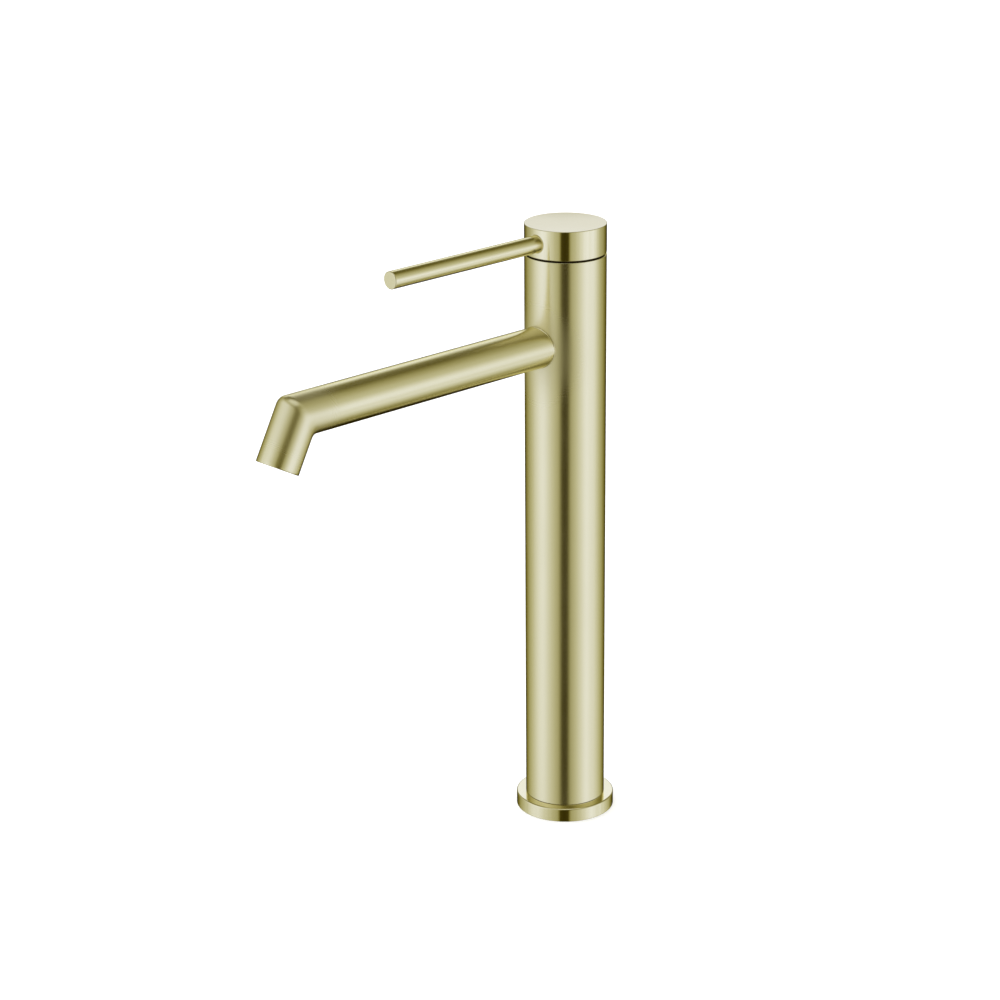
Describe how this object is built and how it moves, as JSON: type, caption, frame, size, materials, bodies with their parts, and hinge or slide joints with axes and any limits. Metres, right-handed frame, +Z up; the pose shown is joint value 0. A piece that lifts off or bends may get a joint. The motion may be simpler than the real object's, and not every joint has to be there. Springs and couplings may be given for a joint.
{
  "type": "basin mixer faucet",
  "caption": "Tall single-lever basin mixer: cylindrical column, mitred tube spout and a turning cap with a straight pin lever.",
  "frame": {"origin": "centre of the foot, on the deck surface", "axes": "+Z up the column, the spout and the closed lever point along -Y, +X to the right of a user who faces the spout"},
  "size_m": [0.052, 0.2275, 0.3218],
  "materials": {
    "brushed_gold": "pale champagne-gold plating, brushed round each piece",
    "raw_brass": "as machined",
    "copper": null,
    "seal_rubber": "matt moulded rubber",
    "grey_plastic": "moulded",
    "white_plastic": "moulded",
    "black_plastic": "moulded",
    "disc_ceramic": "lapped alumina",
    "steel": "bright stainless steel"
  },
  "bodies": {
    "body": {"column_tube": "brushed_gold", "base_flange": "brushed_gold", "base_gasket": "seal_rubber", "column_base_seal": "seal_rubber", "base_block": "raw_brass", "base_block_o_ring": "seal_rubber", "cold_supply_tube": "copper", "hot_supply_tube": "copper", "cold_lower_o_ring": "seal_rubber", "cold_upper_o_ring": "seal_rubber", "hot_lower_o_ring": "seal_rubber", "hot_upper_o_ring": "seal_rubber", "cold_port_seal": "seal_rubber", "hot_port_seal": "seal_rubber", "outlet_port_seal": "seal_rubber", "valve_body": "raw_brass", "spout_nipple": "raw_brass", "nipple_inner_o_ring": "seal_rubber", "nipple_outer_o_ring": "seal_rubber", "spout": "brushed_gold", "aerator_housing": "black_plastic", "aerator_insert": "grey_plastic", "aerator_screen": "steel", "aerator_seal": "seal_rubber", "cartridge_base": "grey_plastic", "disc_seal": "seal_rubber", "fixed_ceramic_disc": "disc_ceramic", "cartridge_housing": "white_plastic", "cartridge_nut": "raw_brass", "glide_ring": "black_plastic"},
    "lever": {"handle_cap": "brushed_gold", "lever_pin": "brushed_gold", "handle_set_screw": "steel", "screw_plug": "brushed_gold", "cartridge_stem": "raw_brass", "stem_o_ring": "seal_rubber", "disc_carrier": "black_plastic", "moving_ceramic_disc": "disc_ceramic"}
  },
  "joints": [
    {"name": "lever_turn", "type": "hinge", "parent": "body", "child": "lever", "pos_m": [0, 0, 0.2875], "axis": [0, 0, 1], "range_deg": [0, 110]}
  ]
}
